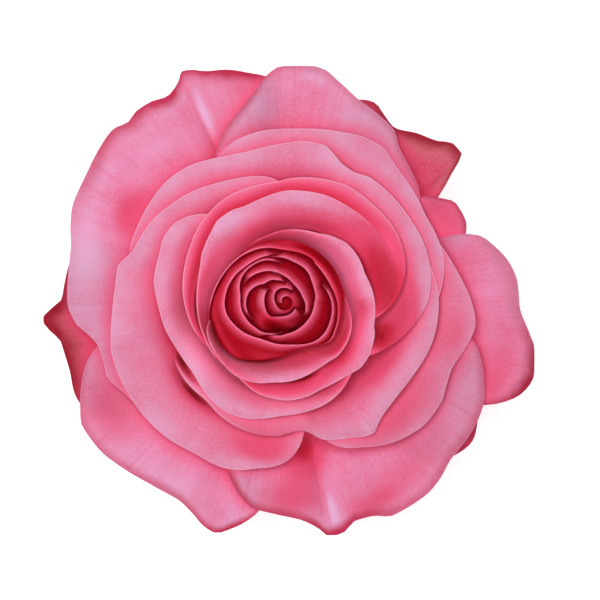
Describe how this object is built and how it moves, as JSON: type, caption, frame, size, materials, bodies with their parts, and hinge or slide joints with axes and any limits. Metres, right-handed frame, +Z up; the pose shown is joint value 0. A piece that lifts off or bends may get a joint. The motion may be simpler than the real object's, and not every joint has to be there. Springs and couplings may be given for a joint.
{
  "type": "cut rose head",
  "caption": "Fully opened garden rose head with rolled petals round a tight spiral heart, on a short cut stub and reflexed sepals.",
  "frame": {"origin": "middle of the object's box in X and Y, on the surface that it stands on", "axes": "+Z up out of the flower's heart, +X to the picture's right, +Y to the picture's top"},
  "size_m": [0.1046, 0.0997, 0.0544],
  "materials": {
    "calyx": "matt green skin",
    "petal_bowl_1": "soft matt petal",
    "petal_bowl_2": "soft matt petal",
    "petal_bowl_3": "soft matt petal",
    "petal_bowl_4": "soft matt petal",
    "petal_guard_1": "soft matt petal",
    "petal_guard_2": "soft matt petal",
    "petal_guard_3": "soft matt petal",
    "petal_guard_4": "soft matt petal",
    "petal_guard_5": "soft matt petal",
    "petal_heart_1": "soft matt petal",
    "petal_heart_2": "soft matt petal",
    "petal_heart_3": "soft matt petal",
    "petal_heart_4": "soft matt petal",
    "petal_heart_5": "soft matt petal",
    "petal_heart_6": "soft matt petal",
    "petal_heart_7": "soft matt petal",
    "petal_heart_8": "soft matt petal",
    "petal_middle_1": "soft matt petal",
    "petal_middle_2": "soft matt petal",
    "petal_middle_3": "soft matt petal",
    "petal_middle_4": "soft matt petal",
    "petal_middle_5": "soft matt petal",
    "petal_middle_6": "soft matt petal",
    "petal_outer_1": "soft matt petal",
    "petal_outer_2": "soft matt petal",
    "petal_outer_3": "soft matt petal",
    "petal_outer_4": "soft matt petal"
  },
  "bodies": {
    "root": {"calyx": "calyx", "petal_bowl_1": "petal_bowl_1", "petal_bowl_2": "petal_bowl_2", "petal_bowl_3": "petal_bowl_3", "petal_bowl_4": "petal_bowl_4", "petal_guard_1": "petal_guard_1", "petal_guard_2": "petal_guard_2", "petal_guard_3": "petal_guard_3", "petal_guard_4": "petal_guard_4", "petal_guard_5": "petal_guard_5", "petal_heart_1": "petal_heart_1", "petal_heart_2": "petal_heart_2", "petal_heart_3": "petal_heart_3", "petal_heart_4": "petal_heart_4", "petal_heart_5": "petal_heart_5", "petal_heart_6": "petal_heart_6", "petal_heart_7": "petal_heart_7", "petal_heart_8": "petal_heart_8", "petal_middle_1": "petal_middle_1", "petal_middle_2": "petal_middle_2", "petal_middle_3": "petal_middle_3", "petal_middle_4": "petal_middle_4", "petal_middle_5": "petal_middle_5", "petal_middle_6": "petal_middle_6", "petal_outer_1": "petal_outer_1", "petal_outer_2": "petal_outer_2", "petal_outer_3": "petal_outer_3", "petal_outer_4": "petal_outer_4"}
  },
  "joints": []
}
